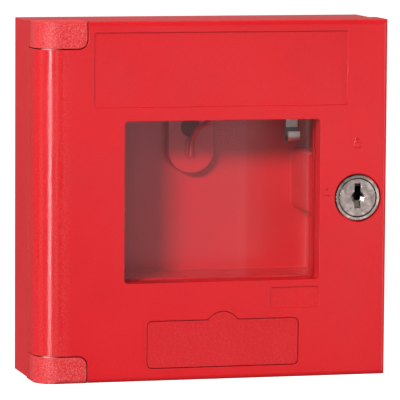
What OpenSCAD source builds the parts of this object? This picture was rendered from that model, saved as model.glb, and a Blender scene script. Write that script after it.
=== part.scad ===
// Break glass key box: a shallow wall box with a hinged, glazed and lockable front door.
// X runs to the right, Y runs into the wall and Z runs up. The origin is the centre of the back face.

/* [Case] */
// overall width of the closed box, mm
case_width = 125; // [122:0.5:140]
// overall height of the closed box, mm
case_height = 125; // [122:0.5:140]
// overall depth of the closed box from wall to front, mm
case_depth = 38; // [36:0.5:48]
// depth of the door from its front face to the seam, mm
door_depth = 15; // [14.5:0.5:17]
// thickness of the moulded side walls, mm
wall = 2.5; // [2:0.1:3]
// radius of the rounded front corner on the hinge side, mm
corner_radius = 8.75; // [8:0.25:9.5]
// radius along the other front edges, mm
edge_radius = 1.6; // [0.8:0.1:2]
// how far the base stands back from the door outline, mm
base_inset = 0.4; // [0.2:0.1:0.6]
// open seam between door and base, mm
seam_gap = 0.4; // [0.3:0.1:0.6]

/* [Hinge] */
// distance of the hinge axis from the left side, mm
axis_from_side = 6; // [5.5:0.1:6.5]
// distance of the hinge axis from the front, mm
axis_from_front = 5; // [4.8:0.1:5.4]
// diameter of the hinge pins, mm
pin_diameter = 3; // [2.6:0.1:3.2]
// width of the corner blocks that carry the pins, mm
block_width = 17.25; // [17:0.25:19]
// height of the corner blocks, mm
block_height = 9.2; // [9:0.1:11]
// radius of the blocks' lower front corner, mm
block_corner = 2.9; // [1.5:0.1:3.2]
// gap between a block and the door, mm
block_gap = 0.4; // [0.4:0.05:0.6]
// running clearance round the pins in the door, mm
pin_clearance = 0.05; // [0.02:0.01:0.1]
// radius of the door's hinge bosses, mm
hinge_boss_radius = 3.8; // [3.4:0.1:3.9]
// length of the door's hinge bosses, mm
hinge_boss_length = 8; // [7.5:0.5:12]

/* [Window] */
// width of the window, mm
window_width = 70; // [60:0.5:70]
// height of the window, mm
window_height = 56.2; // [44:0.1:56.4]
// distance of the window centre from the right side, mm
window_from_side = 59.4; // [59:0.1:61]
// window centre above the box centre, mm
window_z = -0.1; // [-1:0.1:0.5]
// depth from the door front to the glass, mm
glass_set_back = 6.9; // [6.4:0.1:7.2]
// thickness of the glass, mm
glass_thickness = 2; // [1.5:0.1:2.2]
// thickness of the rubber seal before the glass, mm
seal_thickness = 0.5; // [0.4:0.1:0.8]
// width of the wall round the window, mm
reveal_wall = 3; // [2.6:0.1:3.2]
// thickness of the frame that holds the glass, mm
frame_thickness = 2; // [1.6:0.1:2.2]

/* [Front recesses] */
// width of the label recess, mm
label_width = 90.6; // [80:0.2:92]
// height of the label recess, mm
label_height = 25.8; // [20:0.1:26.4]
// width of the marking plate recess, mm
plate_width = 54.6; // [44:0.2:58]
// height of the marking plate recess, mm
plate_height = 16.7; // [14:0.1:17]
// depth of the marking plate recess, mm
plate_depth = 1.3; // [1:0.1:1.5]
// gap round the marking plate, mm
plate_gap = 0.25; // [0.15:0.05:0.4]

/* [Lock] */
// lock centre in from the right side, mm
lock_from_side = 10.5; // [10.5:0.1:11.5]
// lock centre above the box centre, mm
lock_z = 0.1; // [-0.5:0.05:0.5]
// diameter of the lock's front ring, mm
bezel_diameter = 15.7; // [15:0.1:16]
// diameter of the lock barrel, mm
barrel_diameter = 11; // [10.6:0.1:11.2]
// diameter of the turning plug, mm
plug_diameter = 9; // [8.8:0.1:9.2]
// running clearance round the plug, mm
plug_clearance = 0.05; // [0.02:0.01:0.1]
// width of the key slot, mm
slot_width = 2.3; // [1.8:0.1:2.6]
// reach of the cam from the lock axis, mm
cam_reach = 12.4; // [11.5:0.1:12.8]
// width of the cam, mm
cam_width = 8; // [7:0.25:8.5]
// thickness of the cam, mm
cam_thickness = 1.6; // [1.2:0.1:1.8]

/* [Inside] */
// top of the key shelf above the box centre, mm
shelf_z = -28.15; // [-29.5:0.05:-28]
// thickness of the shelf and ribs, mm
rib = 1.8; // [1.4:0.1:2]
// distance of the rib that closes the key space from the right side, mm
partition_from_side = 19.1; // [18.7:0.1:19.5]
// width of the hanging pad on the back wall, mm
pad_width = 16.6; // [15:0.2:20]
// height of the hanging pad off the back wall, mm
pad_rise = 4.5; // [4:0.5:9]
// width of the metal key hook, mm
hook_width = 4.5; // [3.5:0.1:6]
// thickness of the metal key hook, mm
hook_thickness = 1; // [0.8:0.1:1.2]
// distance between the two lower wall screws, mm
screw_spacing = 76; // [70:1:80]
// diameter of the lower wall screw holes, mm
screw_hole = 4.5; // [4:0.1:5]

/* [Hidden] */
$fn = 64;

left = -case_width / 2;
right = case_width / 2;
top = case_height / 2;
front = -case_depth;
seam = front + door_depth;
panel = wall;
inside_front = front + panel;
over = 1;
assembly_gap = 0.02;
end_gap = 0.2;
trim = 0.01;
slot_land = 0.6;

axis_x = left + axis_from_side;
axis_y = front + axis_from_front;
pin_radius = pin_diameter / 2;
block_z = top - block_height;
block_reach_x = block_width - axis_from_side;
block_sweep = sqrt(pow(block_reach_x, 2) + pow(axis_from_front, 2));
turning_gap = 0.3;
notch_radius = block_sweep + turning_gap;
notch_skin = 0.75;
door_wall_sweep = sqrt(pow(axis_from_side, 2) + pow(door_depth - axis_from_front, 2));
base_relief = door_wall_sweep + turning_gap;
pin_in_block = 7.3;
pin_end_gap = 0.3;
pin_in_door = 6.5;
pin_bore_depth = 7.5;
hinge_washer_inset = 0.1;

window_x = right - window_from_side;
window_corner = 1.3;
glass_front = front + glass_set_back;
glass_back = glass_front + glass_thickness;
rim_back = glass_front - seal_thickness;
frame_back = glass_back + frame_thickness;
skirt_gap = 0.3;
skirt_wall = 1.5;
frame_opening_extra = 0.6;
frame_border = reveal_wall + skirt_gap + skirt_wall;
frame_corner = 2;
frame_screw_x = 40.5;
frame_screw_z = 33.5;
frame_boss_radius = 3.2;
frame_screw_radius = 1.3;
frame_screw_length = 7;
frame_screw_head = 2.5;
frame_screw_head_height = 1.6;
frame_screw_slot = 0.7;
frame_screw_cut = 0.8;
frame_bore_extra = 0.4;
frame_hole_gap = 0.2;

label_x = 2.62;
label_z = top - 16.8;
label_depth = 0.5;
recess_corner = 0.8;
plate_x = 3.53;
plate_z = 12.75 - top;
plate_set_back = 0.1;
plate_corner = 2;
plate_tab_radius = 6.2;
plate_tab_rise = 2.85;
plate_peg_x = 20;
plate_peg_radius = 1.5;
plate_peg_reach = 2.6;
plain_recess_x = 29.3;
plain_recess_z = window_z - window_height / 2 - 6.2;
plain_recess_width = 17.4;
plain_recess_height = 7.3;
plain_recess_depth = 0.4;
mark_rise = 0.25;
mark_width = 2.4;
mark_height = 1.8;
shackle_outer = 0.95;
shackle_inner = 0.55;
shackle_overlap = 0.1;
open_lift = 0.9;

lock_x = right - lock_from_side;
upper_mark_x = lock_x - 0.5;
upper_mark_z = lock_z + 18.5;
side_mark_x = lock_x - 11.3;
side_mark_z = lock_z + 1.9;
bezel_radius = bezel_diameter / 2;
barrel_radius = barrel_diameter / 2;
plug_radius = plug_diameter / 2;
lock_recess_radius = 8.5;
lock_recess_depth = 2;
lock_floor = 2.5;
lock_boss_radius = 10.4;
bezel_front = front + 0.3;
bezel_back = front + lock_recess_depth;
barrel_flat = 4.9;
barrel_hole_gap = 0.15;
barrel_back = -21.4;
plug_head_radius = 6.55;
plug_head_gap = 0.3;
plug_head_front = bezel_front + 0.2;
plug_head_back = bezel_back - 0.4;
plug_drive = 5;
plug_drive_gap = 0.04;
plug_head_float = 0.05;
nut_seat = bezel_back + lock_floor;
lock_washer_thickness = 0.6;
lock_washer_radius = 7.1;
nut_thickness = 3.5;
nut_flats = 13;
stop_washer_thickness = 1;
stop_washer_radius = 4.1;
stop_tab_radius = 5.3;
stop_tab_width = 2;
stop_ring_radius = 4.4;
stop_ring_root = 0.5;
stop_ring_short = 0.2;
stop_rest_angle = 90;
stop_cut_reach = 9;
stop_slack = 14;
lock_turn = 90;
cam_front = barrel_back + stop_washer_thickness;
cam_back = cam_front + cam_thickness;
cam_hub_radius = 5.2;
cam_corner = 2;
cam_washer_thickness = 0.6;
cam_washer_radius = 3.6;
cam_screw_radius = 1.5;
cam_screw_length = 8;
cam_screw_end_gap = 0.4;
cam_screw_slot = 0.8;
cam_screw_cut = 1;
cam_screw_head = 2.8;
cam_screw_head_height = 1.8;
slot_height = 8.6;
slot_rise = 0.7;
keyway_height = 7.8;
keyway_rise = 0.2;
keyway_depth = 12;
wafer_count = 6;
wafer_pitch = 1.6;
wafer_thickness = 0.6;
wafer_height = 2.6;
wafer_start = 0.6;
wafer_step = 0.3;
dimple_radius = 2.45;
dimple_floor = 1;
dimple_depth = 1.1;

base_top = top - base_inset;
base_right = right - base_inset;
base_front = seam + seam_gap;
back_wall = 2.5;
inside_back = -back_wall;
lip_wall = 1.2;
lip_reach = 2;
lip_root = 2.5;
lip_start = 2;
shelf_front = -25;
partition_front = -14;
partition_x = right - partition_from_side;
pocket_left = lock_x - 14.4;
pocket_right = lock_x - 6.4;
pocket_floor = lock_z - 7.1;
pocket_top = lock_z + cam_reach + 2.6;
pocket_corner = 3;
pocket_wall = 1.5;
pocket_gap = 1;
keeper_back = cam_front - pocket_gap;
keeper_thickness = 2;
pocket_back = cam_back + 2.4;
pad_x = -0.35;
pad_top = 36;
pad_centre_z = 15.1;
pad_front = inside_back - pad_rise;
pad_face = 2;
key_hole_x = -0.45;
key_hole_z = 23.2;
key_hole_radius = 3.65;
key_slot_width = 4.4;
key_slot_top = 32;
back_recess = 0.8;
back_rim = 4;
back_rib = 6;
screw_z = 16.5 - top;
screw_boss_radius = 5;
screw_boss_rise = 2;

hook_x = partition_x - 5.9;
hook_bottom = 17.2;
hook_top = 33;
hook_gap = 2.2;
hook_tip = 21;
hook_screw_z = 30;
hook_screw_radius = 1;
hook_screw_head = 2;
hook_screw_head_height = 1.2;
hook_screw_bite = 1.5;
hook_screw_slot = 0.6;
hook_screw_cut = 0.6;
hook_hole_gap = 0.1;
peg_x = -0.7;
peg_radius = 0.95;
peg_stand_off = 1;
peg_foot_width = 3.2;
peg_foot_thickness = 0.8;
peg_foot_corner = 1.2;
peg_foot_low = 12.1;
peg_foot_high = 19.2;
peg_stem_low = 13;
peg_arm_low = 15.2;
peg_bend = 10;
peg_sweep = 80;
peg_turn = 32;
peg_ball_radius = 1.2;
peg_pin_radius = 1;
peg_pin_z = 14.5;

module rounded_rectangle(w, h, r) {
    square([w - 2 * r, h], center = true);
    square([w, h - 2 * r], center = true);
    for (sx = [-1, 1])
        for (sz = [-1, 1])
            translate([sx * (w / 2 - r), sz * (h / 2 - r)])
                circle(r);
}

module corner_cut(r) {
    difference() {
        translate([-over, -over])
            square(r + over);
        translate([r, r])
            circle(r);
    }
}

module facing(y_front, y_back) {
    translate([0, y_back, 0])
        rotate([90, 0, 0])
            linear_extrude(y_back - y_front)
                children();
}

module rod_y(x, z, y_front, y_back, r) {
    translate([x, y_back, z])
        rotate([90, 0, 0])
            cylinder(r = r, h = y_back - y_front);
}

module rod_z(z_low, z_high, r) {
    translate([axis_x, axis_y, z_low])
        cylinder(r = r, h = z_high - z_low);
}

module both_ends() {
    children();
    mirror([0, 0, 1])
        children();
}

module cross_slot(head_radius, slot_width, cut) {
    for (turn = [0, 90])
        rotate([0, turn, 0])
            cube([2 * (head_radius - slot_land), 2 * cut, slot_width], center = true);
}

module case_plan(depth) {
    difference() {
        translate([left, front])
            square([case_width, depth]);
        translate([left, front])
            corner_cut(corner_radius);
        translate([right, front])
            mirror([1, 0])
                corner_cut(edge_radius);
    }
}

module case_side(depth) {
    difference() {
        translate([front, -top])
            square([depth, case_height]);
        for (s = [0, 1])
            mirror([0, s])
                translate([front, -top])
                    corner_cut(edge_radius);
    }
}

module case_front(depth) {
    intersection() {
        translate([0, 0, -top])
            linear_extrude(case_height)
                case_plan(depth);
        translate([left, 0, 0])
            rotate([90, 0, 90])
                linear_extrude(case_width)
                    case_side(depth);
    }
}

module door_hollow() {
    translate([0, 0, wall - top])
        linear_extrude(case_height - 2 * wall)
            difference() {
                translate([left + wall, inside_front])
                    square([case_width - 2 * wall, door_depth]);
                translate([left + wall, inside_front])
                    corner_cut(corner_radius - wall);
            }
}

module hinge_notch() {
    notch_width = block_width + block_gap;
    notch_z = block_z - block_gap;
    notch_corner = block_corner + block_gap;
    translate([left - over, front + notch_skin, notch_z])
        cube([notch_width + over, door_depth, block_height + block_gap + over]);
    intersection() {
        rod_z(notch_z, top + over, notch_radius);
        translate([left - over, front + notch_skin, notch_z])
            cube([case_width, case_depth, case_height]);
    }
    facing(front - over, front + notch_skin)
        difference() {
            translate([left - over, notch_z])
                square([notch_width + over, block_height + block_gap + over]);
            translate([left + notch_width, notch_z])
                mirror([1, 0])
                    corner_cut(notch_corner);
        }
}

module window_shape(extra) {
    translate([window_x, window_z])
        rounded_rectangle(window_width + extra, window_height + extra, window_corner + extra / 2);
}

module at_frame_screws() {
    for (sx = [-1, 1])
        for (sz = [-1, 1])
            translate([window_x + sx * frame_screw_x, 0, window_z + sz * frame_screw_z])
                children();
}

module plate_shape(gap) {
    translate([plate_x, plate_z])
        rounded_rectangle(plate_width - 2 * gap, plate_height - 2 * gap, plate_corner - gap);
    translate([plate_x, plate_z + plate_height / 2 + plate_tab_rise - plate_tab_radius])
        circle(plate_tab_radius - gap);
}

module barrel_shape(gap) {
    intersection() {
        circle(barrel_radius + gap);
        square([2 * (barrel_flat + gap), 4 * barrel_radius], center = true);
    }
}

module padlock_mark(shackle_lift) {
    square([mark_width, mark_height], center = true);
    translate([0, mark_height / 2 + shackle_lift])
        difference() {
            circle(shackle_outer);
            circle(shackle_inner);
            translate([-mark_width, -2 * mark_width])
                square(2 * mark_width);
        }
    translate([-shackle_outer, mark_height / 4])
        square([shackle_outer - shackle_inner, mark_height / 4 + shackle_lift + shackle_overlap]);
}

module door_solid() {
    difference() {
        case_front(door_depth);
        door_hollow();
    }
    intersection() {
        case_front(door_depth);
        both_ends()
            rod_z(block_z - block_gap - hinge_boss_length, block_z - block_gap, hinge_boss_radius);
    }
    facing(front + panel / 2, rim_back)
        window_shape(2 * reveal_wall);
    at_frame_screws()
        rod_y(0, 0, front + panel / 2, glass_back, frame_boss_radius);
    intersection() {
        case_front(door_depth);
        rod_y(lock_x, lock_z, front + panel / 2, nut_seat, lock_boss_radius);
    }
}

module door() {
    color([0.80, 0.06, 0.07])
        difference() {
            union() {
                door_solid();
                facing(front - mark_rise, front + over) {
                    translate([upper_mark_x, upper_mark_z])
                        padlock_mark(open_lift);
                    translate([side_mark_x, side_mark_z])
                        padlock_mark(0);
                }
            }
            both_ends()
                hinge_notch();
            both_ends()
                rod_z(block_z - block_gap - pin_bore_depth, block_z, pin_radius + pin_clearance);
            facing(front - over, rim_back + over)
                window_shape(0);
            facing(front - over, front + label_depth)
                translate([label_x, label_z])
                    rounded_rectangle(label_width, label_height, recess_corner);
            facing(front - over, front + plate_depth)
                plate_shape(0);
            for (s = [-1, 1])
                rod_y(plate_x + s * plate_peg_x, plate_z, front, inside_front + over,
                      plate_peg_radius + plate_gap);
            facing(front - over, front + plain_recess_depth)
                translate([plain_recess_x, plain_recess_z])
                    rounded_rectangle(plain_recess_width, plain_recess_height, recess_corner);
            rod_y(lock_x, lock_z, front - over, bezel_back, lock_recess_radius);
            facing(front, nut_seat + over)
                translate([lock_x, lock_z])
                    barrel_shape(barrel_hole_gap);
            at_frame_screws()
                rod_y(0, 0, inside_front - frame_bore_extra, glass_back + over,
                      frame_screw_radius + assembly_gap);
        }
}

module hinge_block() {
    difference() {
        union() {
            intersection() {
                case_front(case_depth);
                translate([left, front, block_z])
                    cube([block_width, door_depth + wall + seam_gap, block_height]);
            }
            intersection() {
                rod_z(block_z, top, block_sweep);
                translate([axis_x, front + over, block_z])
                    cube([case_width, 2 * axis_from_front - 2 * over, block_height]);
            }
        }
        facing(front - over, seam)
            translate([left + block_width, block_z])
                mirror([1, 0])
                    corner_cut(block_corner);
        translate([left + block_width, front - over, block_z - over])
            cube([block_width, door_depth, block_corner + over]);
        rod_z(block_z - over, block_z + pin_in_block, pin_radius + assembly_gap);
    }
}

module tray() {
    difference() {
        translate([left, base_front, -base_top])
            cube([base_right - left, -base_front, 2 * base_top]);
        translate([left + wall, base_front - over, wall - base_top])
            cube([base_right - left - 2 * wall, inside_back - base_front + over,
                  2 * (base_top - wall)]);
    }
}

module lip() {
    lip_x = base_right - wall;
    lip_z = base_top - wall;
    lip_front = base_front - lip_reach;
    lip_left = left + block_width + lip_start;
    translate([lip_x - lip_wall, lip_front, -lip_z])
        cube([lip_wall, lip_reach + lip_root, 2 * lip_z]);
    both_ends()
        translate([lip_left, lip_front, lip_z - lip_wall])
            cube([lip_x - lip_left, lip_reach + lip_root, lip_wall]);
}

module pad_shape(extra) {
    translate([pad_x, pad_centre_z])
        circle(pad_width / 2 + extra);
    translate([pad_x - pad_width / 2 - extra, pad_centre_z])
        square([pad_width + 2 * extra, pad_top - pad_centre_z + extra]);
}

module pocket_shape(inset) {
    difference() {
        translate([pocket_left + inset, pocket_floor + inset])
            square([pocket_right - pocket_left - inset, pocket_top - pocket_floor - 2 * inset]);
        translate([pocket_left + inset, pocket_floor + inset])
            corner_cut(pocket_corner - inset);
        translate([pocket_left + inset, pocket_top - inset])
            mirror([0, 1])
                corner_cut(pocket_corner - inset);
    }
}

module base_solid() {
    tray();
    both_ends()
        hinge_block();
    lip();
    translate([left + wall / 2, shelf_front, shelf_z - rib])
        cube([partition_x + rib - left - wall / 2, inside_back - shelf_front + over, rib]);
    translate([partition_x, partition_front, shelf_z - rib])
        cube([rib, inside_back - partition_front + over, base_top - wall / 2 - shelf_z + rib]);
    facing(keeper_back - keeper_thickness, inside_back + over)
        pocket_shape(0);
    facing(pad_front, inside_back + over)
        pad_shape(0);
    for (s = [-1, 1])
        rod_y(s * screw_spacing / 2, screw_z, inside_back - screw_boss_rise, 0, screw_boss_radius);
}

module base() {
    color([0.78, 0.06, 0.07])
        difference() {
            base_solid();
            rod_z(-block_z, block_z, base_relief);
            facing(keeper_back, pocket_back)
                pocket_shape(pocket_wall);
            translate([pocket_right - pocket_wall, keeper_back, pocket_floor + pocket_wall])
                cube([2 * pocket_wall, pocket_back - keeper_back,
                      pocket_top - pocket_floor - 2 * pocket_wall]);
            facing(pad_front + pad_face, over)
                pad_shape(-pad_face);
            rod_y(key_hole_x, key_hole_z, pad_front - over, over, key_hole_radius);
            facing(pad_front - over, over)
                translate([key_hole_x - key_slot_width / 2, key_hole_z])
                    square([key_slot_width, key_slot_top - key_slot_width / 2 - key_hole_z]);
            rod_y(key_hole_x, key_slot_top - key_slot_width / 2, pad_front - over, over,
                  key_slot_width / 2);
            difference() {
                facing(-back_recess, over)
                    square([case_width - 2 * back_rim, case_height - 2 * back_rim], center = true);
                facing(-2 * back_recess, 2 * over) {
                    square([back_rib, case_height], center = true);
                    square([case_width, back_rib], center = true);
                    pad_shape(0);
                    for (s = [-1, 1])
                        translate([s * screw_spacing / 2, screw_z])
                            circle(screw_boss_radius);
                    translate([hook_x, hook_screw_z])
                        circle(screw_boss_radius);
                }
            }
            for (s = [-1, 1])
                rod_y(s * screw_spacing / 2, screw_z, -case_depth / 2, over, screw_hole / 2);
            rod_y(hook_x, hook_screw_z, inside_back - over, inside_back + hook_screw_bite + end_gap,
                  hook_screw_radius + assembly_gap);
            rod_y(peg_x, peg_pin_z, pad_front - over, pad_front + pad_face + over,
                  peg_pin_radius + assembly_gap);
        }
}

module hinge_pins() {
    color([0.70, 0.71, 0.72])
        both_ends()
            rod_z(block_z - block_gap - pin_in_door, block_z + pin_in_block - pin_end_gap, pin_radius);
}

module hinge_washers() {
    color([0.90, 0.88, 0.84])
        both_ends()
            difference() {
                rod_z(block_z - block_gap, block_z, hinge_boss_radius - hinge_washer_inset);
                rod_z(block_z - block_gap - over, block_z + over, pin_radius + pin_clearance);
            }
}

module glass_pane() {
    color([0.75, 0.86, 0.86, 0.35])
        facing(glass_front, glass_back)
            window_shape(2 * reveal_wall);
}

module glass_seal() {
    color([0.05, 0.05, 0.05])
        facing(rim_back, glass_front)
            difference() {
                window_shape(2 * reveal_wall);
                window_shape(frame_opening_extra);
            }
}

module glass_frame() {
    color([0.78, 0.06, 0.07])
        difference() {
            union() {
                facing(glass_back, frame_back) {
                    translate([window_x, window_z])
                        rounded_rectangle(window_width + 2 * frame_border,
                                          window_height + 2 * frame_border, frame_corner);
                    at_frame_corners();
                }
                facing(rim_back, glass_back)
                    difference() {
                        window_shape(2 * frame_border);
                        at_frame_corners();
                    }
            }
            facing(rim_back - over, glass_back)
                window_shape(2 * (reveal_wall + skirt_gap));
            facing(glass_back - over, frame_back + over)
                window_shape(frame_opening_extra);
            at_frame_screws()
                rod_y(0, 0, glass_back - over, frame_back + over, frame_screw_radius + frame_hole_gap);
        }
}

module at_frame_corners() {
    for (sx = [-1, 1])
        for (sz = [-1, 1])
            translate([window_x + sx * frame_screw_x, window_z + sz * frame_screw_z])
                circle(frame_boss_radius + skirt_gap);
}

module frame_screws() {
    color([0.72, 0.72, 0.70])
        at_frame_screws()
            difference() {
                union() {
                    rod_y(0, 0, frame_back - frame_screw_length, frame_back, frame_screw_radius);
                    rod_y(0, 0, frame_back, frame_back + frame_screw_head_height, frame_screw_head);
                }
                translate([0, frame_back + frame_screw_head_height, 0])
                    cross_slot(frame_screw_head, frame_screw_slot, frame_screw_cut);
            }
}

module lock_housing() {
    color([0.68, 0.62, 0.58])
        difference() {
            union() {
                rod_y(lock_x, lock_z, bezel_front, bezel_back, bezel_radius);
                facing(bezel_back, barrel_back)
                    translate([lock_x, lock_z])
                        barrel_shape(0);
                stop_ring();
            }
            rod_y(lock_x, lock_z, bezel_front - over, plug_head_back, plug_head_radius + plug_head_gap);
            rod_y(lock_x, lock_z, bezel_front - over, barrel_back + trim, plug_radius + plug_clearance);
        }
}

module stop_ring() {
    from = stop_rest_angle - stop_slack;
    to = stop_rest_angle + lock_turn + stop_slack;
    reach = stop_cut_reach;
    facing(barrel_back - stop_ring_root, barrel_back + stop_washer_thickness - stop_ring_short)
        translate([lock_x, lock_z])
            difference() {
                barrel_shape(0);
                circle(stop_ring_radius);
                polygon([[0, 0], reach * [cos(from), sin(from)], [reach, reach], [-reach, reach],
                         reach * [cos(to), sin(to)]]);
            }
}

module lock_washer() {
    color([0.60, 0.60, 0.60])
        facing(nut_seat, nut_seat + lock_washer_thickness)
            translate([lock_x, lock_z])
                difference() {
                    circle(lock_washer_radius);
                    circle(barrel_radius + barrel_hole_gap);
                }
}

module lock_nut() {
    color([0.66, 0.60, 0.46])
        facing(nut_seat + lock_washer_thickness, nut_seat + lock_washer_thickness + nut_thickness)
            translate([lock_x, lock_z])
                difference() {
                    circle(nut_flats / 2 / cos(30), $fn = 6);
                    circle(barrel_radius + assembly_gap);
                }
}

module lock_plug() {
    color([0.72, 0.66, 0.62])
        difference() {
            union() {
                rod_y(lock_x, lock_z, plug_head_front, plug_head_back - plug_head_float, plug_head_radius);
                rod_y(lock_x, lock_z, plug_head_front, barrel_back, plug_radius);
                facing(barrel_back - over, cam_back)
                    translate([lock_x, lock_z])
                        square(plug_drive, center = true);
            }
            facing(plug_head_front - over, plug_head_back)
                translate([lock_x, lock_z + slot_rise])
                    square([slot_width, slot_height], center = true);
            facing(plug_head_front - over, plug_head_front + keyway_depth)
                translate([lock_x, lock_z + keyway_rise])
                    square([slot_width, keyway_height], center = true);
            translate([lock_x, plug_head_front - trim, lock_z])
                rotate([-90, 0, 0])
                    cylinder(r1 = dimple_radius, r2 = dimple_floor, h = dimple_depth);
            rod_y(lock_x, lock_z, cam_back - cam_screw_length, cam_back + over,
                  cam_screw_radius + assembly_gap);
        }
}

module lock_wafers() {
    wafer_low = lock_z + keyway_rise - keyway_height / 2;
    color([0.76, 0.62, 0.32])
        for (i = [0 : wafer_count - 1])
            translate([lock_x - slot_width / 2, plug_head_back + wafer_start + i * wafer_pitch,
                       wafer_low])
                cube([slot_width, wafer_thickness, wafer_height - wafer_step * (i % 3)]);
}

module stop_washer() {
    color([0.62, 0.62, 0.62])
        facing(barrel_back, barrel_back + stop_washer_thickness)
            translate([lock_x, lock_z])
                difference() {
                    union() {
                        circle(stop_washer_radius);
                        translate([-stop_tab_width / 2, 0])
                            square([stop_tab_width, stop_tab_radius]);
                    }
                    square(plug_drive + 2 * plug_drive_gap, center = true);
                }
}

module lock_cam() {
    color([0.70, 0.70, 0.69])
        facing(cam_front, cam_back)
            translate([lock_x, lock_z])
                difference() {
                    union() {
                        circle(cam_hub_radius);
                        translate([-cam_width / 2, 0])
                            square([cam_width, cam_reach - cam_corner]);
                        translate([-cam_width / 2 + cam_corner, 0])
                            square([cam_width - 2 * cam_corner, cam_reach]);
                        for (s = [-1, 1])
                            translate([s * (cam_width / 2 - cam_corner), cam_reach - cam_corner])
                                circle(cam_corner);
                    }
                    square(plug_drive + 2 * plug_drive_gap, center = true);
                }
}

module cam_washer() {
    color([0.60, 0.60, 0.60])
        facing(cam_back, cam_back + cam_washer_thickness)
            translate([lock_x, lock_z])
                difference() {
                    circle(cam_washer_radius);
                    circle(cam_screw_radius + assembly_gap);
                }
}

module cam_screw() {
    head_front = cam_back + cam_washer_thickness;
    color([0.72, 0.72, 0.70])
        difference() {
            union() {
                rod_y(lock_x, lock_z, cam_back - cam_screw_length + cam_screw_end_gap, head_front,
                      cam_screw_radius);
                rod_y(lock_x, lock_z, head_front, head_front + cam_screw_head_height, cam_screw_head);
            }
            translate([lock_x, head_front + cam_screw_head_height, lock_z])
                cross_slot(cam_screw_head, cam_screw_slot, cam_screw_cut);
        }
}

module hook_section() {
    bend = hook_gap / 2 + hook_thickness;
    flange_face = inside_back - hook_thickness;
    tip_face = flange_face - hook_gap - hook_thickness;
    translate([flange_face, hook_bottom + bend])
        square([hook_thickness, hook_top - hook_bottom - bend]);
    translate([tip_face, hook_bottom + bend])
        square([hook_thickness, hook_tip - hook_bottom - bend]);
    translate([flange_face - hook_gap / 2, hook_bottom + bend])
        difference() {
            circle(bend);
            circle(hook_gap / 2);
            translate([-2 * bend, 0])
                square([4 * bend, 2 * bend]);
        }
}

module key_hook() {
    color([0.74, 0.72, 0.69])
        difference() {
            translate([hook_x - hook_width / 2, 0, 0])
                rotate([90, 0, 90])
                    linear_extrude(hook_width)
                        hook_section();
            rod_y(hook_x, hook_screw_z, -case_depth / 2, 0, hook_screw_radius + hook_hole_gap);
        }
}

module hook_screw() {
    seat = inside_back - hook_thickness;
    color([0.72, 0.72, 0.70])
        difference() {
            union() {
                rod_y(hook_x, hook_screw_z, seat, inside_back + hook_screw_bite, hook_screw_radius);
                rod_y(hook_x, hook_screw_z, seat - hook_screw_head_height, seat, hook_screw_head);
            }
            translate([hook_x, seat - hook_screw_head_height, hook_screw_z])
                cross_slot(hook_screw_head, hook_screw_slot, hook_screw_cut);
        }
}

module key_peg() {
    arm_y = pad_front - peg_stand_off;
    color([0.74, 0.06, 0.07]) {
        facing(pad_front - peg_foot_thickness, pad_front)
            translate([peg_x, (peg_foot_low + peg_foot_high) / 2])
                rounded_rectangle(peg_foot_width, peg_foot_high - peg_foot_low, peg_foot_corner);
        rod_y(peg_x, peg_pin_z, pad_front - peg_foot_thickness / 2, pad_front + pad_face,
              peg_pin_radius);
        translate([peg_x, arm_y, peg_stem_low])
            cylinder(r = peg_radius, h = peg_arm_low - peg_stem_low);
        translate([peg_x, arm_y, peg_arm_low])
            rotate([0, 0, peg_turn])
                translate([0, -peg_bend, 0])
                    peg_arm();
    }
}

module peg_arm() {
    rotate([90, 0, 90])
        rotate_extrude(angle = peg_sweep)
            translate([peg_bend, 0])
                circle(peg_radius);
    translate([0, peg_bend * cos(peg_sweep), peg_bend * sin(peg_sweep)])
        sphere(peg_ball_radius);
}

module marking_plate() {
    color([0.76, 0.07, 0.08])
        union() {
            facing(front + plate_set_back, front + plate_depth)
                plate_shape(plate_gap);
            for (s = [-1, 1])
                rod_y(plate_x + s * plate_peg_x, plate_z, front + plate_depth / 2,
                      front + plate_depth + plate_peg_reach, plate_peg_radius);
        }
}

base();
door();
hinge_pins();
hinge_washers();
glass_pane();
glass_seal();
glass_frame();
frame_screws();
lock_housing();
lock_washer();
lock_nut();
lock_plug();
lock_wafers();
stop_washer();
lock_cam();
cam_washer();
cam_screw();
key_hook();
hook_screw();
key_peg();
marking_plate();
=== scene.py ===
import math

import bpy
from mathutils import Matrix, Vector

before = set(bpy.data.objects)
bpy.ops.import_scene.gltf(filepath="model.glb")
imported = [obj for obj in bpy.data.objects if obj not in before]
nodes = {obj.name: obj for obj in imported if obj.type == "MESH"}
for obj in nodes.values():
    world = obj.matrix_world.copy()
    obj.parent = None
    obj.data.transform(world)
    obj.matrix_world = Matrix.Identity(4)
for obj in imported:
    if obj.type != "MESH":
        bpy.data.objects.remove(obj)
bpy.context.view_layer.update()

scene = bpy.context.scene

# ---------------------------------------------------------------- places on the part, in metres
LOCK_X, LOCK_Z = 0.052, 0.0001
RING_GAP_RADIUS = (0.00690, 0.00696)
SLOT_START = (-0.0366, -0.0362)
SLOT_END = (-0.0238, -0.0234)
DIMPLE_START = (-0.0374, -0.0372)
DIMPLE_END = (-0.0362, -0.0360)
DIMPLE_UPPER_HALF = (-0.0001, 0.0006)
HOOK_LIP_BACK = (-0.0052, -0.0048)
HOOK_LIP_BOTTOM = (0.0182, 0.0190)
HOOK_BEND_TOP = (0.0221, 0.0225)
HOOK_LEFT_SIDE = (0.03530, 0.03545)
BLOCKS_BACK = (-0.0262, -0.0245)
DOOR_COLUMN_RIGHT = (-0.0530, -0.0505)

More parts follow.
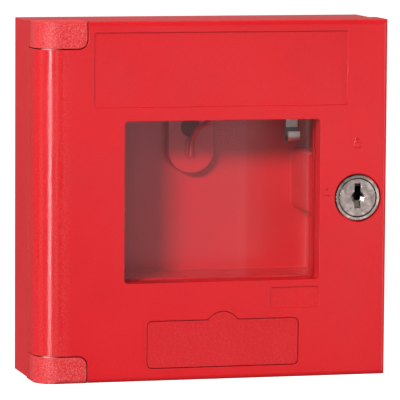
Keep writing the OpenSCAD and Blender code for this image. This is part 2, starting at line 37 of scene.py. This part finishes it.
# ---------------------------------------------------------------- numbers that several materials share
PLASTIC_IOR = 1.47
PLASTIC_EDGE = 0.0004
METAL_EDGE = 0.0002
DRIFT_SCALE = 28
GLOSS_SCALE = 55
WEAR_SCALE = 420
COARSE_SCALE = 2300
COARSE_DEPTH = 0.00014
FINE_DEPTH = 0.00012
WAVE_SCALE, WAVE_DEPTH, WAVE_STRENGTH = 34, 0.0009, 0.045
TARNISH_SCALE = 260
METAL_GLOSS_SCALE = 520
METAL_GRAIN_SCALE, METAL_GRAIN_DEPTH, METAL_GRAIN_STRENGTH = 2600, 0.00004, 0.12

# ---------------------------------------------------------------- studio levels
WHITE = (1.0, 1.0, 1.0, 1.0)
WHITE_LEVEL = 1.0
ROOM_LEVEL = 0.20
MIRRORED_ROOM_LEVEL = 0.18
MIRRORED_FLOOR_LEVEL = 0.10


def srgb(r, g, b):
    """A colour as read on a screen, 0 to 255, as linear light."""
    out = []
    for c in (r, g, b):
        c /= 255
        out.append(c / 12.92 if c <= 0.04045 else ((c + 0.055) / 1.055) ** 2.4)
    return (*out, 1.0)


# ---------------------------------------------------------------- node helpers
class Nodes:
    """A material's node tree, with short calls for the nodes used here."""

    def __init__(self, name):
        self.material = bpy.data.materials.new(name)
        self.material.use_nodes = True
        self.tree = self.material.node_tree
        self.tree.nodes.clear()
        self.out = self.add("ShaderNodeOutputMaterial")
        self.place = self.add("ShaderNodeTexCoord").outputs["Object"]

    def add(self, kind, **inputs):
        node = self.tree.nodes.new(kind)
        for key, value in inputs.items():
            node.inputs[key.replace("_", " ")].default_value = value
        return node

    def link(self, a, b):
        self.tree.links.new(a, b)

    def plug(self, value, socket):
        """Links a socket, or sets a constant."""
        if isinstance(value, bpy.types.NodeSocket):
            self.link(value, socket)
        else:
            socket.default_value = value

    def along(self, axis):
        """The place on the piece along X, Y or Z."""
        node = self.add("ShaderNodeSeparateXYZ")
        self.link(self.place, node.inputs[0])
        return node.outputs[axis]

    def mapped(self, stretch):
        """The place on the piece, scaled along each axis."""
        if stretch is None:
            return self.place
        node = self.add("ShaderNodeMapping")
        node.inputs["Scale"].default_value = stretch
        self.link(self.place, node.inputs["Vector"])
        return node.outputs["Vector"]

    def noise(self, scale, detail, roughness=0.5, stretch=None):
        node = self.add("ShaderNodeTexNoise", Scale=scale, Detail=detail, Roughness=roughness)
        self.link(self.mapped(stretch), node.inputs["Vector"])
        return node.outputs["Fac"]

    def cells(self, scale):
        node = self.add("ShaderNodeTexVoronoi", Scale=scale)
        node.feature = "F1"
        self.link(self.place, node.inputs["Vector"])
        return node.outputs["Distance"]

    def spread(self, value, low, high, to_low=0.0, to_high=1.0):
        """Maps low to high onto to_low to to_high, clamped."""
        node = self.add("ShaderNodeMapRange")
        node.clamp = True
        self.link(value, node.inputs["Value"])
        for key, number in (("From Min", low), ("From Max", high), ("To Min", to_low), ("To Max", to_high)):
            node.inputs[key].default_value = number
        return node.outputs["Result"]

    def past(self, value, step, most=1.0):
        """0 before the step, given as its two ends, and most after it."""
        return self.spread(value, *step, 0.0, most)

    def before(self, value, step, most=1.0):
        """The value most before the step, given as its two ends, and 0 after it."""
        return self.spread(value, *step, most, 0.0)

    def mix(self, factor, a, b):
        """A mix of two colours."""
        node = self.add("ShaderNodeMix")
        node.data_type = "RGBA"
        self.plug(factor, node.inputs["Factor"])
        self.plug(a, node.inputs[6])
        self.plug(b, node.inputs[7])
        return node.outputs[2]

    def math(self, operation, a, b):
        node = self.add("ShaderNodeMath")
        node.operation = operation
        self.plug(a, node.inputs[0])
        self.plug(b, node.inputs[1])
        return node.outputs[0]

    def times(self, a, b):
        return self.math("MULTIPLY", a, b)

    def bump(self, height, distance, strength, under=None):
        node = self.add("ShaderNodeBump", Strength=strength, Distance=distance)
        self.link(height, node.inputs["Height"])
        if under is not None:
            self.link(under, node.inputs["Normal"])
        return node.outputs["Normal"]

    def soft_edge(self, radius):
        node = self.add("ShaderNodeBevel", Radius=radius)
        node.samples = 4
        return node.outputs["Normal"]

    def edge_mask(self, radius, gain):
        """1 on the outer edges of a piece and 0 on its flats, from how far the rounded normal leans."""
        geometry = self.add("ShaderNodeNewGeometry")
        dot = self.add("ShaderNodeVectorMath")
        dot.operation = "DOT_PRODUCT"
        self.link(self.soft_edge(radius), dot.inputs[0])
        self.link(geometry.outputs["Normal"], dot.inputs[1])
        lean = self.math("SUBTRACT", 1.0, dot.outputs["Value"])
        return self.math("MINIMUM", self.times(lean, gain), 1.0)

    def uneven(self, scale, detail, low, high):
        """A roughness that wanders between low and high."""
        return self.spread(self.noise(scale, detail, 0.6), 0.3, 0.7, low, high)

    def pick(self, factor, a, b):
        """A mix of two shaders."""
        node = self.add("ShaderNodeMixShader")
        for value, socket in zip((factor, a, b), node.inputs):
            self.link(value, socket)
        return node.outputs[0]

    def shader(self, **inputs):
        node = self.add("ShaderNodeBsdfPrincipled")
        for key, value in inputs.items():
            self.plug(value, node.inputs[key.replace("_", " ")])
        return node

    def finish(self, surface):
        self.link(surface, self.out.inputs["Surface"])
        return self.material


# ---------------------------------------------------------------- plastics
def worn(n, colour, light, most):
    """Edges rubbed pale in patches."""
    patches = n.spread(n.noise(WEAR_SCALE, 2), 0.40, 0.62, 0.1, most)
    return n.mix(n.times(n.edge_mask(PLASTIC_EDGE, 2.6), patches), colour, light)


def plastic(n, colour, gloss, pits):
    """The shader that all red pieces share, with the slight waves of a moulding."""
    waves = n.bump(n.noise(WAVE_SCALE, 2), WAVE_DEPTH, WAVE_STRENGTH, pits)
    return n.finish(n.shader(Base_Color=colour, Roughness=gloss, Normal=waves, IOR=PLASTIC_IOR).outputs[0])


def moulded(name, body, light, deep, grain, grain_scale, roughness, fleck, column=None):
    """Moulded plastic: colour drift, a fine spark-eroded grain, worn edges and uneven gloss.

    Left of the step column, along X, a light coarse grain lies over it.
    """
    n = Nodes(name)
    colour = n.mix(n.spread(n.noise(DRIFT_SCALE, 3), 0.35, 0.65), deep, body)
    flecks = n.spread(n.noise(grain_scale, 2, 0.6), 0.50, 0.68, 0.0, fleck)
    colour = worn(n, n.mix(flecks, colour, light), light, 0.55)
    gloss = n.uneven(GLOSS_SCALE, 4, roughness - 0.05, roughness + 0.07)
    pits = n.bump(n.noise(grain_scale, 3, 0.65), FINE_DEPTH, grain, n.soft_edge(PLASTIC_EDGE))
    if column is not None:
        left = n.before(n.along("X"), column)
        coarse = n.noise(COARSE_SCALE, 3, 0.7)
        flecks = n.times(n.spread(coarse, 0.46, 0.66, 0.0, 0.16), left)
        colour = n.mix(flecks, colour, srgb(240, 130, 130))
        gloss = n.math("ADD", gloss, n.times(left, 0.02))
        pits = n.bump(n.times(coarse, left), COARSE_DEPTH, 0.16, pits)
    return plastic(n, colour, gloss, pits)


def base_plastic():
    """The base: coarse spark-eroded corner blocks in front, a finer and glossier surface behind them."""
    n = Nodes("red_grained")
    blocks = n.before(n.along("Y"), BLOCKS_BACK)
    light = srgb(244, 130, 130)
    colour = n.mix(n.spread(n.noise(DRIFT_SCALE, 3), 0.35, 0.65), srgb(214, 25, 33), srgb(222, 30, 38))
    grain = n.noise(COARSE_SCALE, 3, 0.7)
    fleck = n.math("ADD", n.times(blocks, 0.50), 0.08)
    colour = n.mix(n.times(n.spread(grain, 0.44, 0.66), fleck), colour, light)
    colour = worn(n, colour, light, 0.5)
    gloss = n.math("ADD", n.uneven(GLOSS_SCALE, 4, 0.17, 0.25), n.times(blocks, 0.16))
    height = n.times(grain, n.math("ADD", n.times(blocks, 0.93), 0.07))
    pits = n.bump(height, COARSE_DEPTH, 0.95, n.soft_edge(PLASTIC_EDGE))
    return plastic(n, colour, gloss, pits)


def rubber():
    """Black rubber with dust in its grain."""
    n = Nodes("rubber")
    dust = n.spread(n.noise(900, 3, 0.6), 0.45, 0.75, 0.0, 0.6)
    colour = n.mix(dust, srgb(22, 22, 23), srgb(58, 56, 56))
    gloss = n.spread(n.noise(300, 2), 0.3, 0.7, 0.56, 0.70)
    pits = n.bump(n.noise(1900, 3, 0.6), 0.0001, 0.35, n.soft_edge(METAL_EDGE))
    return n.finish(n.shader(Base_Color=colour, Roughness=gloss, Normal=pits, IOR=1.5).outputs[0])


def nylon():
    """Translucent off-white washers."""
    n = Nodes("nylon")
    colour = n.mix(n.spread(n.noise(700, 2), 0.35, 0.65), srgb(226, 221, 208), srgb(240, 237, 228))
    pits = n.bump(n.noise(2400, 2), 0.00005, 0.2, n.soft_edge(METAL_EDGE))
    s = n.shader(Base_Color=colour, Roughness=0.45, Normal=pits, IOR=1.53,
                 Subsurface_Weight=0.25, Subsurface_Scale=0.0008)
    return n.finish(s.outputs[0])


# ---------------------------------------------------------------- metals
def plated(n, colour, gloss, brushed, turn=None):
    """The shader that all metal pieces share; turn is the height of a slope that leans their faces."""
    grain = n.noise(METAL_GRAIN_SCALE, 3, 0.6, brushed)
    marks = n.bump(grain, METAL_GRAIN_DEPTH, METAL_GRAIN_STRENGTH, n.soft_edge(METAL_EDGE))
    if turn is not None:
        marks = n.bump(turn, 1.0, 1.0, marks)
    return n.finish(n.shader(Base_Color=colour, Metallic=1.0, Roughness=gloss, Normal=marks).outputs[0])


def tarnished(n, body, dull):
    return n.mix(n.spread(n.noise(TARNISH_SCALE, 4, 0.65), 0.38, 0.66), body, dull)


def metal(name, body, dull, roughness, brushed=None, painted_shade=None):
    """Plated or zinc-coated metal: tarnish, brushing, bright worn edges, and on some pieces painted shade and
    dark reflection where light hardly gets in.
    """
    n = Nodes(name)
    edges = n.times(n.edge_mask(METAL_EDGE, 2.5), 0.45)
    colour = n.mix(edges, tarnished(n, body, dull), (0.92, 0.90, 0.88, 1.0))
    # painted shade and dark reflection: where a mask is passed, it darkens the colour
    if painted_shade:
        colour = n.mix(painted_shade(n), colour, srgb(30, 28, 27))
    gloss = n.uneven(METAL_GLOSS_SCALE, 3, roughness - 0.06, roughness + 0.10)
    return plated(n, colour, gloss, brushed)


def ring_painted_shade(n):
    """Painted shade in the gap between the lock's front ring and the plug, and painted shade and dark reflection
    towards the ring's top left.
    """
    from_axis = n.add("ShaderNodeVectorMath")
    from_axis.operation = "DISTANCE"
    n.link(n.mapped((1.0, 0.0, 1.0)), from_axis.inputs[0])
    from_axis.inputs[1].default_value = (LOCK_X, 0.0, LOCK_Z)
    # painted shade: the colour darkens in the narrow gap round the plug
    gap = n.before(from_axis.outputs["Value"], RING_GAP_RADIUS, 0.96)
    # painted shade and dark reflection: the ring darkens towards its top left
    leftwards = n.times(n.math("SUBTRACT", LOCK_X, n.along("X")), 0.5)
    to_top_left = n.math("ADD", leftwards, n.times(n.along("Z"), 0.87))
    return n.math("MAXIMUM", gap, n.spread(to_top_left, -0.004, 0.0078, 0.0, 0.55))


def plug_painted_shade(n):
    """Painted shade in the depth of the key slot, and a painted dark reflection under the upper edge of the
    dimple round it.
    """
    depth = n.along("Y")
    # painted shade: the colour darkens deep in the key slot
    slot = n.times(n.past(depth, SLOT_START), n.before(depth, SLOT_END))
    # painted dark reflection: the upper half of the dimple darkens
    upper = n.past(n.along("Z"), DIMPLE_UPPER_HALF)
    dimple = n.times(n.past(depth, DIMPLE_START, 0.85), upper)
    return n.math("MAXIMUM", slot, n.times(dimple, n.before(depth, DIMPLE_END)))


def hook_metal():
    """Nickel-plated strip with painted shade in its bend and on its cut left side, a painted highlight on the
    lip, and its faces leaning left.
    """
    n = Nodes("hook_steel")
    across, depth, height = n.along("X"), n.along("Y"), n.along("Z")
    colour = tarnished(n, srgb(232, 222, 218), srgb(204, 190, 186))
    # painted highlight: the lip is lightened to stand in for the light it catches
    lip = n.times(n.before(depth, HOOK_LIP_BACK), n.past(height, HOOK_LIP_BOTTOM))
    colour = n.mix(lip, colour, srgb(246, 238, 232))
    # painted shade: the bend and the cut left side are darkened
    bend = n.times(n.before(height, HOOK_BEND_TOP), n.past(depth, HOOK_LIP_BACK))
    dark = n.math("MAXIMUM", bend, n.before(across, HOOK_LEFT_SIDE))
    colour = n.mix(n.times(dark, 0.8), colour, srgb(40, 32, 34))
    gloss = n.uneven(METAL_GLOSS_SCALE, 3, 0.30, 0.42)
    return plated(n, colour, gloss, (0.15, 1, 1), n.times(across, 0.2))


# ---------------------------------------------------------------- glass
def window_glass():
    """Thin float glass: clear, with a mirror gloss and a faint film of dust and smears on its faces."""
    n = Nodes("glass")
    clear = n.add("ShaderNodeBsdfTransparent", Color=(0.992, 0.998, 0.996, 1.0))
    shine = n.add("ShaderNodeBsdfGlossy", Roughness=0.03)
    film = n.add("ShaderNodeBsdfDiffuse", Color=srgb(238, 226, 228))
    entering = n.math("SUBTRACT", 1.0, n.add("ShaderNodeNewGeometry").outputs["Backfacing"])
    smear = n.spread(n.noise(46, 4, 0.6, (1.0, 1.0, 0.45)), 0.3, 0.75, 0.001, 0.012)
    specks = n.spread(n.cells(420), 0.02, 0.10, 0.08, 0.0)
    film_amount = n.times(n.math("ADD", smear, specks), entering)
    fresnel = n.add("ShaderNodeFresnel", IOR=1.5)
    n.link(n.bump(n.noise(22, 1), 0.0004, 0.02), shine.inputs["Normal"])
    clean = n.pick(n.times(fresnel.outputs[0], entering), clear.outputs[0], shine.outputs[0])
    return n.finish(n.pick(film_amount, clean, film.outputs[0]))


# ---------------------------------------------------------------- which piece has which material
MATERIALS = {
    "red_smooth": moulded("red_smooth", srgb(218, 27, 35), srgb(236, 66, 68), srgb(212, 23, 31),
                          grain=0.2, grain_scale=1500, roughness=0.19, fleck=0.12, column=DOOR_COLUMN_RIGHT),
    "red_grained": base_plastic(),
    "red_plate": moulded("red_plate", srgb(212, 28, 35), srgb(232, 84, 86), srgb(206, 24, 32),
                         grain=0.34, grain_scale=2000, roughness=0.36, fleck=0.3),
    "bright_steel": metal("bright_steel", srgb(206, 207, 208), srgb(170, 170, 170), 0.24, (1, 1, 0.08)),
    "screw_steel": metal("screw_steel", srgb(205, 205, 200), srgb(150, 150, 146), 0.34),
    "cam_steel": metal("cam_steel", srgb(200, 200, 197), srgb(158, 158, 154), 0.32, (1, 1, 0.12)),
    "hook_steel": hook_metal(),
    "nylon": nylon(),
    "glass": window_glass(),
    "rubber": rubber(),
    "nickel": metal("nickel", srgb(236, 222, 212), srgb(206, 188, 178), 0.22, painted_shade=ring_painted_shade),
    "nickel_plug": metal("nickel_plug", srgb(232, 216, 208), srgb(196, 176, 168), 0.25, (0.1, 1, 1), plug_painted_shade),
    "brass_wafers": metal("brass_wafers", srgb(158, 150, 136), srgb(92, 86, 76), 0.3),
    "brass_nut": metal("brass_nut", srgb(206, 180, 128), srgb(160, 136, 92), 0.3),
}

PIECES_OF = {
    "red_grained": ("base", "key_peg"),
    "red_smooth": ("door", "glass_frame"),
    "red_plate": ("marking_plate",),
    "bright_steel": ("hinge_pins", "lock_washer", "stop_washer", "cam_washer"),
    "screw_steel": ("frame_screws", "cam_screw", "hook_screw"),
    "cam_steel": ("lock_cam",),
    "hook_steel": ("key_hook",),
    "nylon": ("hinge_washers",),
    "glass": ("glass_pane",),
    "rubber": ("glass_seal",),
    "nickel": ("lock_housing",),
    "nickel_plug": ("lock_plug",),
    "brass_wafers": ("lock_wafers",),
    "brass_nut": ("lock_nut",),
}
for slot, names in PIECES_OF.items():
    for name in names:
        mesh = nodes[name].data
        mesh.materials.clear()
        mesh.materials.append(MATERIALS[slot])


# ---------------------------------------------------------------- floor and wall
def stage_mesh(name, corners, material):
    mesh = bpy.data.meshes.new(name)
    mesh.from_pydata(corners, [], [tuple(range(len(corners)))])
    obj = bpy.data.objects.new(name, mesh)
    scene.collection.objects.link(obj)
    mesh.materials.append(material)


def pale_floor():
    """White to the camera and through glass, a plain pale tone in reflections, and grey paint to other light."""
    n = Nodes("floor_pale")
    rays = n.add("ShaderNodeLightPath").outputs
    paint = n.add("ShaderNodeBsdfDiffuse", Color=(0.28, 0.28, 0.28, 1.0))
    glow = n.add("ShaderNodeEmission")
    n.link(n.math("MAXIMUM", rays["Is Camera Ray"], rays["Is Transmission Ray"]), glow.inputs["Strength"])
    both = n.add("ShaderNodeAddShader")
    n.link(paint.outputs[0], both.inputs[0])
    n.link(glow.outputs[0], both.inputs[1])
    mirrored = n.add("ShaderNodeEmission", Strength=MIRRORED_FLOOR_LEVEL)
    return n.finish(n.pick(rays["Is Glossy Ray"], both.outputs[0], mirrored.outputs[0]))


def keyhole_shade_sheet():
    """A grey sheet behind the keyhole, painted dark to stand in for the shaded cavity behind the box, and also
    lit by the real light that gets in through the keyhole. The camera sees it from the front only, and it lets
    light pass from behind.
    """
    n = Nodes("keyhole_shade_paint")
    rays = n.add("ShaderNodeLightPath").outputs
    # painted shade: the sheet's dark grey stands in for shade behind the keyhole
    paint = n.add("ShaderNodeBsdfDiffuse", Color=srgb(98, 94, 98))
    clear = n.add("ShaderNodeBsdfTransparent")
    behind = n.add("ShaderNodeNewGeometry").outputs["Backfacing"]
    lit_through = n.math("MAXIMUM", rays["Is Shadow Ray"], rays["Is Diffuse Ray"])
    return n.finish(n.pick(n.math("MAXIMUM", behind, lit_through), paint.outputs[0], clear.outputs[0]))


FLOOR_Z = -0.30
FLOOR_REACH = 8.0
WALL_REACH = 0.058
WALL_Y = 0.0006
CORNERS = ((-1, -1), (1, -1), (1, 1), (-1, 1))
stage_mesh("floor", [(FLOOR_REACH * a, FLOOR_REACH * b, FLOOR_Z) for a, b in CORNERS], pale_floor())
stage_mesh("wall", [(WALL_REACH * a, WALL_Y, WALL_REACH * b) for a, b in CORNERS], keyhole_shade_sheet())


# ---------------------------------------------------------------- world
def studio_world():
    """White to the camera and through glass, a dim pale room in reflections, and a faint light on the rest."""
    world = bpy.data.worlds.new("studio")
    scene.world = world
    world.use_nodes = True
    tree = world.node_tree
    tree.nodes.clear()

    def room(strength):
        node = tree.nodes.new("ShaderNodeBackground")
        node.inputs["Color"].default_value = WHITE
        node.inputs["Strength"].default_value = strength
        return node.outputs[0]

    def pick(factor, a, b):
        node = tree.nodes.new("ShaderNodeMixShader")
        for value, socket in zip((factor, a, b), node.inputs):
            tree.links.new(value, socket)
        return node.outputs[0]

    rays = tree.nodes.new("ShaderNodeLightPath").outputs
    seen = tree.nodes.new("ShaderNodeMath")
    seen.operation = "MAXIMUM"
    tree.links.new(rays["Is Camera Ray"], seen.inputs[0])
    tree.links.new(rays["Is Transmission Ray"], seen.inputs[1])
    plain = pick(seen.outputs[0], room(ROOM_LEVEL), room(WHITE_LEVEL))
    surface = pick(rays["Is Glossy Ray"], plain, room(MIRRORED_ROOM_LEVEL))
    tree.links.new(surface, tree.nodes.new("ShaderNodeOutputWorld").inputs["Surface"])


studio_world()


# ---------------------------------------------------------------- lamps
def from_front(turn, rise, distance):
    """A place turned from straight in front of the part (left is negative) and raised, in degrees."""
    turn, rise = math.radians(turn), math.radians(rise)
    return (distance * math.sin(turn) * math.cos(rise), -distance * math.cos(turn) * math.cos(rise),
            distance * math.sin(rise))


def lamp(name, place, size, power, tint=(1, 1, 1), shades=True, mirrored=True):
    """An area lamp that faces the part; shades and mirrored say which rays it lights."""
    data = bpy.data.lights.new(name, "AREA")
    data.shape = "RECTANGLE"
    data.size, data.size_y = size
    data.energy = power
    data.color = tint
    obj = bpy.data.objects.new(name, data)
    scene.collection.objects.link(obj)
    look = (-Vector(place)).to_track_quat("-Z", "Y")
    obj.matrix_world = Matrix.Translation(place) @ look.to_matrix().to_4x4()
    obj.visible_camera = False
    obj.visible_diffuse = shades
    obj.visible_glossy = mirrored


BACK_LAMPS = (("back_lamp_left", -128), ("back_lamp_right", 132))
lamp("key_lamp", from_front(-36.6, 21.5, 2.3), (0.44, 0.30), 43.0, mirrored=False)
lamp("strip_lamp_left", from_front(-46, 6, 1.5), (0.09, 1.3), 15.0, shades=False)
lamp("strip_lamp_front", from_front(-17, 6, 1.6), (0.10, 1.1), 1.2)
lamp("front_card", (0.2345, -1.2, -0.07), (0.19, 0.24), 0.115, (1.0, 0.86, 0.98))
lamp("lock_card", (0.435, -1.2, -0.11), (0.12, 0.2), 0.055)
lamp("wide_card", (0.56, -1.3, -0.20), (0.4, 0.6), 0.25)
lamp("side_lamp", from_front(-88, 6, 1.4), (0.5, 0.9), 0.8)
lamp("rim_lamp", (1.0, -0.25, 0.15), (0.3, 0.9), 4.5, mirrored=False)
lamp("rim_card", from_front(52, 5, 1.3), (0.34, 1.0), 3.6, shades=False)
lamp("top_lamp", from_front(-20, 56, 1.6), (0.5, 0.4), 3.0)
for name, turn in BACK_LAMPS:
    lamp(name, from_front(turn, 38, 1.6), (0.9, 0.9), 17.5, mirrored=False)


# ---------------------------------------------------------------- camera, as fitted to the photo
CAMERA_TURN, CAMERA_RISE, CAMERA_ROLL = -14.6, 5.94, 0.37
CAMERA_TARGET = (-0.0051, -0.038, 0.00045)
CAMERA_DISTANCE = 1.3189
FOCAL_PIXELS, PICTURE_PIXELS, SENSOR = 3811, 400, 36


def camera():
    target = Vector(CAMERA_TARGET)
    back = Vector(from_front(CAMERA_TURN, CAMERA_RISE, 1.0))
    right = (-back).cross(Vector((0, 0, 1))).normalized()
    up = right.cross(-back)
    roll = math.radians(CAMERA_ROLL)
    right, up = math.cos(roll) * right + math.sin(roll) * up, math.cos(roll) * up - math.sin(roll) * right
    data = bpy.data.cameras.new("camera")
    data.sensor_width = SENSOR
    data.lens = FOCAL_PIXELS * SENSOR / PICTURE_PIXELS
    data.clip_start, data.clip_end = 0.05, 60
    obj = bpy.data.objects.new("camera", data)
    scene.collection.objects.link(obj)
    turned = Matrix((right, up, back)).transposed().to_4x4()
    obj.matrix_world = Matrix.Translation(target + back * CAMERA_DISTANCE) @ turned
    scene.camera = obj


camera()
scene.view_settings.view_transform = "Standard"
